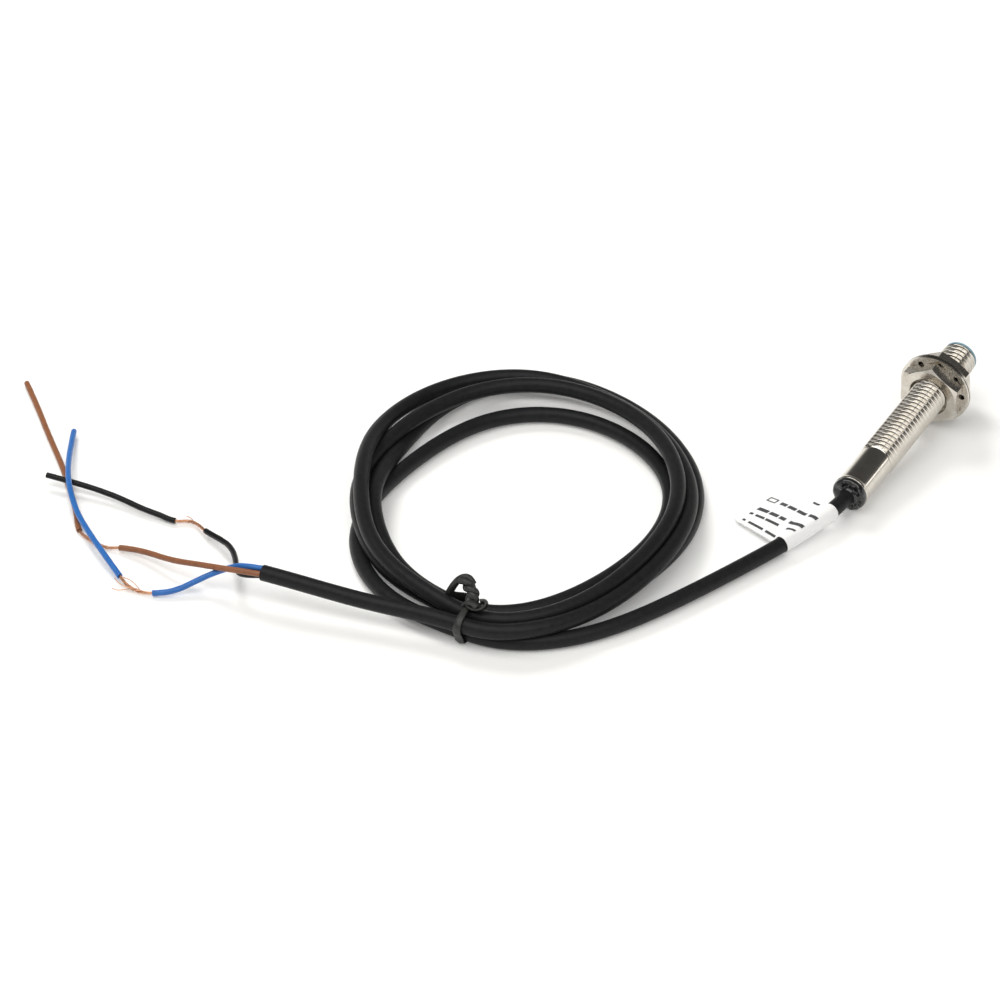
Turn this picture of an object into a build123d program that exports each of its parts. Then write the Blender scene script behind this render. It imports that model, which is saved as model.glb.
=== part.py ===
from build123d import *
import os
from math import atan, cos, sin, tan

os.makedirs("parts", exist_ok=True)

# ---------------------------------------------------------------- dimensions
# Cylindrical inductive proximity sensor, M8 x 1.25 body, lying on its rear rim
# and on its lock washers, with a coiled three-core lead.  Stations run along
# the barrel axis from the rear rim (0) to the sensing face.
THREAD_R = 4.0            # M8 crest
THREAD_ROOT_R = 3.35
PITCH = 1.25
BORE_R = 2.9
SMOOTH_R = 3.75
RIM_R = 3.95
RIM_T = 0.6
SMOOTH_END = 11.6
BARREL_LEN = 52.8
CAP_T = 0.6
CAP_R = 3.85

NUT_AF = 13.0             # across flats
NUT_T = 3.2
NUT_BORE_R = 4.03         # running clearance on the crests
NUT_REAR_S = 37.0
WASHER_R = 8.17
WASHER_T = 0.5
WASHER_BORE_R = 4.06
WASHER_REAR_S = 40.2
WASHER_FRONT_S = 40.95
NUT_FRONT_S = 41.45
WASHER_TEETH = 9

CABLE_D = 3.4
CORE_D = 1.25             # insulated conductor
COPPER_D = 0.6

ORIGIN_X = -26.106        # rear rim centre in X

# the barrel leans back on its rear rim and the rear washer's rim
LEAN_RISE = 4.3           # washer rim below the axis, less the rear rim
LEAN_RUN = 40.8           # between the two places where it rests
TILT = atan(LEAN_RISE / LEAN_RUN)
Z0 = RIM_R * cos(TILT) - 0.1 * sin(TILT)
U = (cos(TILT), 0.0, sin(TILT))
O = (ORIGIN_X, 0.0, Z0)
axis = Axis(O, U)


def at(s, y=0.0, v=0.0):
    """Point at station s, y sideways and v above the barrel axis."""
    return (
        O[0] + s * U[0] - v * sin(TILT),
        y,
        O[2] + s * U[2] + v * cos(TILT),
    )


def along():
    """Plane through the barrel axis: local x is the station, local y is radius."""
    return Plane(origin=O, x_dir=U, z_dir=(0, -1, 0))


def across(s):
    """Plane square to the barrel axis at station s: local x = Y, local y = up."""
    return Plane(origin=at(s), x_dir=(0, 1, 0), z_dir=U)


# ---------------------------------------------------------------- barrel
thread_pts = [(SMOOTH_END, SMOOTH_R), (SMOOTH_END, THREAD_ROOT_R)]
s = SMOOTH_END + 0.25
while s + PITCH < BARREL_LEN - 0.3:
    thread_pts += [
        (s + 0.45, THREAD_R),
        (s + 0.62, THREAD_R),
        (s + PITCH - 0.12, THREAD_ROOT_R),
        (s + PITCH, THREAD_ROOT_R),
    ]
    s += PITCH
thread_pts += [
    (s + 0.4, 3.85),
    (BARREL_LEN - 0.15, 3.7),
    (BARREL_LEN, 3.55),
]
with BuildPart() as threaded_barrel:
    with BuildSketch(along()):
        with BuildLine():
            Polyline(
                [
                    (0, BORE_R + 0.3),
                    (0, RIM_R - 0.1),
                    (0.1, RIM_R),
                    (RIM_T, RIM_R),
                    (RIM_T + 0.1, SMOOTH_R),
                ]
                + thread_pts
                + [(BARREL_LEN, BORE_R), (0.3, BORE_R)],
                close=True,
            )
        make_face()
    revolve(axis=axis)
threaded_barrel.part.label = "threaded_barrel"
export_step(threaded_barrel.part, "parts/threaded_barrel.step")

# ---------------------------------------------------------------- sensing end
with BuildPart() as sensing_cap:
    with BuildSketch(along()):
        with BuildLine():
            Polyline(
                (47.6, BORE_R - 0.02),
                (BARREL_LEN, BORE_R - 0.02),
                (BARREL_LEN, CAP_R),
                (BARREL_LEN + CAP_T - 0.15, CAP_R),
                (BARREL_LEN + CAP_T, CAP_R - 0.15),
                (BARREL_LEN + CAP_T, 0),
                (52.5, 0),
                (52.5, 2.64),
                (47.6, 2.64),
                close=True,
            )
        make_face()
    revolve(axis=axis)
sensing_cap.part.label = "sensing_cap"
export_step(sensing_cap.part, "parts/sensing_cap.step")

with BuildPart() as ferrite_core:
    with BuildSketch(along()):
        with BuildLine():
            Polyline(
                (49.9, 0),
                (52.48, 0),
                (52.48, 0.85),
                (50.7, 0.85),
                (50.7, 2.2),
                (52.48, 2.2),
                (52.48, 2.6),
                (49.9, 2.6),
                close=True,
            )
        make_face()
    revolve(axis=axis)
    with BuildSketch(across(49.0)):
        with Locations((-1.5, 0), (1.5, 0)):
            Circle(0.25)
    extrude(amount=2.2, mode=Mode.SUBTRACT)
ferrite_core.part.label = "ferrite_core"
export_step(ferrite_core.part, "parts/ferrite_core.step")

with BuildPart() as coil_bobbin:
    with BuildSketch(along()):
        with BuildLine():
            Polyline(
                (50.72, 0.88),
                (52.44, 0.88),
                (52.44, 2.15),
                (52.3, 2.15),
                (52.3, 1.04),
                (50.86, 1.04),
                (50.86, 2.15),
                (50.72, 2.15),
                close=True,
            )
        make_face()
    revolve(axis=axis)
    with BuildSketch(across(50.5)):
        with Locations((-1.5, 0), (1.5, 0)):
            Circle(0.2)
    extrude(amount=0.6, mode=Mode.SUBTRACT)
coil_bobbin.part.label = "coil_bobbin"
export_step(coil_bobbin.part, "parts/coil_bobbin.step")

with BuildPart() as coil_winding:
    with BuildSketch(along()):
        with BuildLine():
            Polyline(
                (50.88, 1.06),
                (52.28, 1.06),
                (52.28, 1.95),
                (50.88, 1.95),
                close=True,
            )
        make_face()
    revolve(axis=axis)
coil_winding.part.label = "coil_winding"
export_step(coil_winding.part, "parts/coil_winding.step")

# ---------------------------------------------------------------- electronics
BOARD_S0, BOARD_S1 = 12.0, 47.4
BOARD_HALF_T = 0.4
BOARD_W = 5.0

with BuildPart() as circuit_board:
    with BuildSketch(along()):
        with Locations(((BOARD_S0 + BOARD_S1) / 2, 0)):
            Rectangle(BOARD_S1 - BOARD_S0, 2 * BOARD_HALF_T)
    extrude(amount=BOARD_W / 2, both=True)
circuit_board.part.label = "circuit_board"
export_step(circuit_board.part, "parts/circuit_board.step")

board_top = Plane(origin=at(0, 0, BOARD_HALF_T), x_dir=U, z_dir=(-sin(TILT), 0, cos(TILT)))
board_under = Plane(origin=at(0, 0, -BOARD_HALF_T), x_dir=U, z_dir=(sin(TILT), 0, -cos(TILT)))

# wires of the coil drop on to two pads at the front end of the board
with BuildPart() as coil_leads:
    with BuildSketch(across(47.4)):
        with Locations((-1.5, 0), (1.5, 0)):
            Circle(0.1)
    extrude(amount=50.88 - 47.4)
coil_leads.part.label = "coil_leads"
export_step(coil_leads.part, "parts/coil_leads.step")

with BuildPart() as oscillator_chip:
    with BuildSketch(board_top):
        with Locations((36.0, 0)):
            Rectangle(4.9, 2.6)
    extrude(amount=1.3)
    chamfer(oscillator_chip.faces().sort_by(Axis.Z)[-1].edges(), 0.15)
    with BuildSketch(board_top):
        with Locations((36.0, 0)):
            with GridLocations(1.27, 3.0, 4, 2):
                Rectangle(0.4, 0.7)
    extrude(amount=0.35)
oscillator_chip.part.label = "oscillator_chip"
export_step(oscillator_chip.part, "parts/oscillator_chip.step")

with BuildPart() as output_transistor:
    with BuildSketch(board_top):
        with Locations((27.5, 0)):
            Rectangle(2.9, 1.3)
    extrude(amount=1.0)
    chamfer(output_transistor.faces().sort_by(Axis.Z)[-1].edges(), 0.12)
    with BuildSketch(board_top):
        with Locations((26.55, -0.85), (28.45, -0.85), (27.5, 0.85)):
            Rectangle(0.4, 0.7)
    extrude(amount=0.3)
output_transistor.part.label = "output_transistor"
export_step(output_transistor.part, "parts/output_transistor.step")

with BuildPart() as protection_diode:
    with BuildSketch(board_top):
        with Locations((21.5, 0)):
            Rectangle(1.7, 1.25)
    extrude(amount=0.9)
    chamfer(protection_diode.faces().sort_by(Axis.Z)[-1].edges(), 0.1)
    with BuildSketch(board_top):
        with Locations((20.5, 0), (22.5, 0)):
            Rectangle(0.6, 0.4)
    extrude(amount=0.2)
protection_diode.part.label = "protection_diode"
export_step(protection_diode.part, "parts/protection_diode.step")

with BuildPart() as chip_capacitors:
    with BuildSketch(board_under):
        with Locations((18.0, 0), (31.0, 0.9), (31.0, -0.9), (42.0, 0)):
            Rectangle(1.6, 0.8)
    extrude(amount=0.8)
chip_capacitors.part.label = "chip_capacitors"
export_step(chip_capacitors.part, "parts/chip_capacitors.step")

with BuildPart() as chip_resistors:
    with BuildSketch(board_under):
        with Locations((22.0, 0.8), (22.0, -0.8), (26.0, 0.8), (26.0, -0.8), (36.5, 0.9), (36.5, -0.9)):
            Rectangle(1.6, 0.8)
    extrude(amount=0.45)
chip_resistors.part.label = "chip_resistors"
export_step(chip_resistors.part, "parts/chip_resistors.step")

# three pads for the lead at the rear, two for the coil at the front
with BuildPart() as solder_joints:
    with BuildSketch(board_top):
        with Locations((14.0, -1.25), (14.0, 0), (14.0, 1.25)):
            Rectangle(1.4, 0.8)
    extrude(amount=0.9)
    with BuildSketch(board_top):
        with Locations((46.6, -1.5), (46.6, 1.5)):
            Rectangle(0.9, 0.7)
    extrude(amount=0.35)
solder_joints.part.label = "solder_joints"
export_step(solder_joints.part, "parts/solder_joints.step")

# conductors of the lead between the end of its jacket and the pads
JACKET_END_S = 5.0
for name, y in (("inner_lead_brown", -1.25), ("inner_lead_blue", 0.0), ("inner_lead_black", 1.25)):
    with BuildPart() as inner_lead:
        with BuildSketch(across(JACKET_END_S)):
            with Locations((y * 0.85, 0.86)):
                Circle(0.42)
        extrude(amount=13.3 - JACKET_END_S)
    inner_lead.part.label = name
    export_step(inner_lead.part, f"parts/{name}.step")

# ---------------------------------------------------------------- lead
def corner_radii(name, pts):
    """Each corner's radius: 0.45 of its shorter run over tan of half the turn."""
    v = [Vector(*p) for p in pts]
    radii = []
    for a, b, c in zip(v, v[1:], v[2:]):
        r1, r2 = b - a, c - b
        half = r1.get_angle(r2) / 2 * 3.141592653589793 / 180
        radii.append(0.45 * min(r1.length, r2.length) / tan(half))
    length = sum((b - a).length for a, b in zip(v, v[1:]))
    print(name, "length %.1f" % length, "radii", [round(r, 1) for r in radii])
    return radii


def section(pts, i=0):
    a, b = Vector(*pts[i]), Vector(*pts[i + 1])
    return Plane(origin=a, z_dir=(b - a))


TUBES = {
    # straight out of the resin, on to the floor and round to the coil
    "cable_lead": (CABLE_D, [
        at(JACKET_END_S), at(-6.0), (-46.5, 3.85, 2.12), (-70.95, 11.88, 1.86), (-98.3, 24.88, 1.7), (-107.7, 37.9, 1.72),
    ]),
    # out of the tie, over the outer turn and up to the cut end of the jacket
    "cable_tail": (CABLE_D, [
        (-110.51, 45.34, 4.66), (-111.71, 55.3, 4.7), (-114.01, 66.6, 4.95), (-116.11, 78.0, 5.75), (-117.78, 88.9, 6.26),
    ]),
    "brown_stub": (CORE_D, [
        (-118.59, 88.78, 6.38), (-119.34, 91.99, 6.3), (-119.86, 97.13, 5.6), (-119.84, 103.68, 4.3), (-120, 110.42, 3), (-118.73, 117.95, 1.8), (-119.11, 123.98, 0.95),
    ]),
    "brown_copper": (COPPER_D, [
        (-119.11, 123.98, 0.95), (-120.15, 126.21, 0.6), (-120.16, 129.03, 0.5), (-119.33, 132.33, 0.5), (-118.34, 135.43, 0.62),
    ]),
    "brown_sleeve": (CORE_D, [
        (-118.38, 135.4, 0.65), (-112.76, 139.92, 0.65), (-106.29, 146.21, 0.65), (-99.59, 153.15, 0.65), (-90.04, 164.19, 0.65), (-84.6, 170.04, 0.65), (-76.71, 179.27, 0.65),
    ]),
    "blue_stub": (CORE_D, [
        (-117.43, 88.93, 7.04), (-118.04, 93.6, 6.6), (-117.75, 96.59, 4.9), (-119.84, 99.72, 3.6), (-123.11, 102.55, 2.2), (-126.59, 104.98, 1.1), (-129.33, 108.86, 0.75),
    ]),
    "blue_copper": (COPPER_D, [
        (-129.33, 108.86, 0.75), (-129.74, 111.36, 0.5), (-129.81, 114.42, 0.7), (-128.1, 117.89, 1.25),
    ]),
    "blue_sleeve": (CORE_D, [
        (-128.1, 117.89, 1.25), (-124.23, 124.51, 2.1), (-120.18, 130.83, 2.3), (-115.18, 137.76, 2.3), (-111.14, 142.32, 3.5), (-105.73, 147.03, 3.65), (-96.61, 153.23, 2.3), (-87.96, 158.27, 1.2),
    ]),
    "black_stub": (CORE_D, [
        (-117.53, 88.96, 5.44), (-118.83, 92.65, 4.8), (-117.4, 95.92, 3.8), (-112.79, 99, 3.1), (-108.59, 103.22, 2.4), (-106.81, 107.35, 1.8), (-105.42, 111.87, 1.3),
    ]),
    "black_copper": (COPPER_D, [
        (-105.42, 111.87, 1.3), (-103.66, 114.74, 1), (-103.13, 117.42, 0.75), (-105.17, 119.73, 0.75),
    ]),
    "black_sleeve": (CORE_D, [
        (-105.21, 119.65, 0.8), (-104.94, 124.37, 1), (-105.21, 127.92, 1.2), (-104.64, 134.26, 1.5), (-104.84, 139.31, 1.8), (-105.29, 144.21, 2.05), (-106.59, 151.98, 2.45),
    ]),
}
tube_parts = {}
for name, (dia, pts) in TUBES.items():
    with BuildPart() as tube:
        with BuildLine():
            FilletPolyline(*pts, radius=corner_radii(name, pts))
        with BuildSketch(section(pts)):
            Circle(dia / 2)
        sweep()
    tube.part.label = name
    export_step(tube.part, f"parts/{name}.step")
    tube_parts[name] = tube.part
    print("   volume / (section x length):", round(
        tube.part.volume / (3.14159265 * dia * dia / 4 * sum(
            (Vector(*b) - Vector(*a)).length for a, b in zip(pts, pts[1:]))), 3))

# the four turns as one closed ring of their outer shape
COIL_OUTER = [
    (-111.61, 53.4), (-111.61, 39.7), (-104.41, 28.0), (-92.41, 21.4), (-79.81, 19.1), (-68.31, 19.3),
    (-57.81, 21.0), (-48.01, 23.9), (-38.71, 28.2), (-30.21, 34.7), (-22.91, 43.3), (-17.01, 53.8),
    (-14.21, 66.3), (-16.71, 79.0), (-23.61, 90.0), (-34.81, 96.5), (-46.01, 100.7), (-57.61, 100.4),
    (-67.91, 97.4), (-76.71, 93.0), (-85.21, 88.9), (-94.61, 84.1), (-103.01, 76.4), (-109.01, 65.9),
]
COIL_INNER = [
    (-98.51, 55.2), (-98.31, 45.2), (-91.01, 38.3), (-82.61, 34.3), (-74.61, 31.8), (-66.81, 30.5),
    (-59.11, 30.6), (-51.61, 32.5), (-44.51, 35.8), (-38.21, 40.9), (-33.41, 47.6), (-30.51, 55.6),
    (-29.61, 64.2), (-32.41, 72.5), (-38.51, 78.6), (-45.71, 82.4), (-52.61, 84.7), (-59.51, 86.1),
    (-66.41, 86.2), (-73.61, 85.6), (-80.81, 83.1), (-86.91, 78.2), (-92.21, 72.0), (-96.21, 64.2),
]
COIL_H = 8.8
with BuildPart() as cable_coil:
    with BuildSketch():
        with BuildLine():
            Spline(*COIL_OUTER, periodic=True)
        make_face()
        with BuildLine():
            Spline(*COIL_INNER, periodic=True)
        make_face(mode=Mode.SUBTRACT)
    extrude(amount=COIL_H)
    chamfer(cable_coil.edges().group_by(Axis.Z)[-1], 1.2)
cable_coil.part.label = "cable_coil"
export_step(cable_coil.part, "parts/cable_coil.step")

# twist tie: a flat band round the bundle and a twisted pair of ends above it
TIE_C = (-106.31, 47.4)
with BuildPart() as twist_tie:
    with BuildSketch(Plane(origin=(TIE_C[0], TIE_C[1] - 1.1, 0), x_dir=(1, 0, 0), z_dir=(0, 1, 0))):
        with Locations((0, -4.6)):
            Rectangle(14.2, 9.2)
            Rectangle(12.6, 7.6, mode=Mode.SUBTRACT)
    extrude(amount=2.2)
    with BuildLine():
        tie_pts = [(-106.11, 48.6, 8.6), (-105.31, 49.8, 11.4), (-107.71, 51.0, 12.6), (-109.31, 49.6, 11.2)]
        FilletPolyline(*tie_pts, radius=corner_radii("twist_tie", tie_pts))
    with BuildSketch(section(tie_pts)):
        Circle(0.7)
    sweep()
twist_tie.part.label = "twist_tie"
export_step(twist_tie.part, "parts/twist_tie.step")

# label: a sleeve wrapped round the lead with a flat flag left standing off it
LABEL_A = (-33.9, 0.75, 3.0)
LABEL_B = (-48.0, 4.45, 2.1)
LABEL_T = 0.12
FLAG_FAR = [(-43.0, 19.6), (-27.1, 14.8)]
sleeve_plane = section([LABEL_B, LABEL_A])
flag_root = Vector(*LABEL_B) - Vector(0, 0, 1.0)
flag_x = Vector(*LABEL_A) - Vector(*LABEL_B)
flag_far = Vector(*FLAG_FAR[0], 0.55) - flag_root
flag_plane = Plane(origin=flag_root, x_dir=flag_x, z_dir=flag_x.cross(flag_far))
with BuildPart() as flag_label:
    with BuildSketch(flag_plane):
        with BuildLine():
            Polyline(
                (0, 1.2),
                flag_plane.to_local_coords(Vector(*FLAG_FAR[0], 0.55)).to_tuple()[:2],
                flag_plane.to_local_coords(Vector(*FLAG_FAR[1], 0.55)).to_tuple()[:2],
                (flag_x.length, 1.2),
                close=True,
            )
        make_face()
        fillet(vertices().sort_by(Axis.Y)[-2:], 1.8)
    extrude(amount=0.2)
    with BuildSketch(sleeve_plane):
        Circle(CABLE_D / 2 + 0.05 + LABEL_T)
    extrude(amount=flag_x.length)
    with BuildSketch(sleeve_plane):
        Circle(CABLE_D / 2 + 0.05)
    extrude(amount=flag_x.length, mode=Mode.SUBTRACT)
flag_label.part.label = "flag_label"
export_step(flag_label.part, "parts/flag_label.step")

# ---------------------------------------------------------------- resin
with BuildPart() as potting_resin:
    with BuildSketch(along()):
        with BuildLine():
            Polyline(
                (-1.0, 0),
                (-1.0, 2.2),
                (-0.7, 3.0),
                (-0.25, 3.3),
                (0, 3.2),
                (0.3, BORE_R),
                (47.6, BORE_R),
                (47.6, 2.64),
                (49.9, 2.6),
                (49.9, 0),
                close=True,
            )
        make_face()
    revolve(axis=axis)
    add(tube_parts["cable_lead"], mode=Mode.SUBTRACT)
    for piece in (circuit_board, coil_leads, oscillator_chip, output_transistor,
                  protection_diode, chip_capacitors, chip_resistors, solder_joints):
        add(piece.part, mode=Mode.SUBTRACT)
    for y in (-1.25, 0.0, 1.25):
        with BuildSketch(across(JACKET_END_S)):
            with Locations((y * 0.85, 0.86)):
                Circle(0.42)
        extrude(amount=13.3 - JACKET_END_S, mode=Mode.SUBTRACT)
potting_resin.part.label = "potting_resin"
export_step(potting_resin.part, "parts/potting_resin.step")

# ---------------------------------------------------------------- nuts
def nut_turn(kind):
    return {"rear_nut": 35.0, "front_nut": 29.5}[kind]


for name, s0 in (("rear_nut", NUT_REAR_S), ("front_nut", NUT_FRONT_S)):
    with BuildPart() as nut:
        with BuildSketch(across(s0)):
            RegularPolygon(radius=NUT_AF / 2, side_count=6, major_radius=False, rotation=nut_turn(name))
        extrude(amount=NUT_T)
        # corners turned down at both ends
        with BuildSketch(along()):
            with BuildLine():
                Polyline(
                    (s0 - 0.01, 0),
                    (s0 - 0.01, NUT_AF / 2 - 0.05),
                    (s0 + 0.6, NUT_AF / 2 + 1.2),
                    (s0 + NUT_T - 0.6, NUT_AF / 2 + 1.2),
                    (s0 + NUT_T + 0.01, NUT_AF / 2 - 0.05),
                    (s0 + NUT_T + 0.01, 0),
                    close=True,
                )
            make_face()
        revolve(axis=axis, mode=Mode.INTERSECT)
        # bore with a lead-in at each end
        with BuildSketch(along()):
            with BuildLine():
                Polyline(
                    (s0 - 0.1, 0),
                    (s0 - 0.1, NUT_BORE_R + 0.7),
                    (s0 + 0.55, NUT_BORE_R),
                    (s0 + NUT_T - 0.55, NUT_BORE_R),
                    (s0 + NUT_T + 0.1, NUT_BORE_R + 0.7),
                    (s0 + NUT_T + 0.1, 0),
                    close=True,
                )
            make_face()
        revolve(axis=axis, mode=Mode.SUBTRACT)
    nut.part.label = name
    export_step(nut.part, f"parts/{name}.step")

# internal-tooth lock washers: a rim with teeth reaching in to the thread
for name, s0, turn in (("rear_lock_washer", WASHER_REAR_S, 20.0), ("front_lock_washer", WASHER_FRONT_S, 4.0)):
    with BuildPart() as washer:
        with BuildSketch(across(s0)):
            Circle(WASHER_R)
            Circle(WASHER_BORE_R, mode=Mode.SUBTRACT)
            with PolarLocations(5.5, WASHER_TEETH, start_angle=turn):
                SlotCenterToCenter(2.2, 1.35, mode=Mode.SUBTRACT)
            with PolarLocations(4.4, WASHER_TEETH, start_angle=turn):
                Rectangle(1.6, 1.35, mode=Mode.SUBTRACT)
        extrude(amount=WASHER_T)
    washer.part.label = name
    export_step(washer.part, f"parts/{name}.step")
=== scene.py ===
import bpy
import bmesh
import math
import random

from mathutils import Matrix, Quaternion, Vector, noise


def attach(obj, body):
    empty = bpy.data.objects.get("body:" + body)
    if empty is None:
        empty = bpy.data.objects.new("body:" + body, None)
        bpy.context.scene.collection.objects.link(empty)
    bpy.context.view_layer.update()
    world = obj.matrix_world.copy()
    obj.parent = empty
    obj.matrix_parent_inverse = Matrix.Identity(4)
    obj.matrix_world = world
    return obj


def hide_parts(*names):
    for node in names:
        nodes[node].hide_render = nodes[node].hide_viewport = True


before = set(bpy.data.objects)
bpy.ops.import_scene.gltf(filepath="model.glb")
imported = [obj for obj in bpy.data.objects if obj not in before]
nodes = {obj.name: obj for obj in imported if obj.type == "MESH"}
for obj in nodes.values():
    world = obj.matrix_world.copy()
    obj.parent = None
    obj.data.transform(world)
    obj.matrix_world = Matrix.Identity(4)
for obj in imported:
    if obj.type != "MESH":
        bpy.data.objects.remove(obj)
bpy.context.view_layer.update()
scene = bpy.context.scene

# ------------------------------------------------------------------ camera
CAM_POS = Vector((-0.70232, -0.31727, 0.503274))
CAM_AIM = Vector((-0.06183, 0.065467, 0.0))
cam_data = bpy.data.cameras.new("camera")
cam_data.sensor_width = 36.0
cam_data.lens = 151.63
cam_data.clip_end = 20.0
cam = bpy.data.objects.new("camera", cam_data)
scene.collection.objects.link(cam)
cam.location = CAM_POS
cam.rotation_euler = (CAM_AIM - CAM_POS).to_track_quat("-Z", "Y").to_euler()
scene.camera = cam

# ------------------------------------------------------------------ axis of the barrel
RIM_R, WASHER_R = 3.95, 8.25
TILT = math.atan((WASHER_R - RIM_R) / (40.9 - 0.1))
Z0 = RIM_R * math.cos(TILT) - 0.1 * math.sin(TILT)
U = Vector((math.cos(TILT), 0.0, math.sin(TILT)))
V = Vector((-math.sin(TILT), 0.0, math.cos(TILT)))
W = Vector((0.0, 1.0, 0.0))
O = Vector((-26.106, 0.0, Z0))


def at(s, y=0.0, v=0.0):
    """Station s (mm) along the barrel, y sideways and v above the axis, in metres."""
    return (O + U * s + W * y + V * v) / 1000.0


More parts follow.
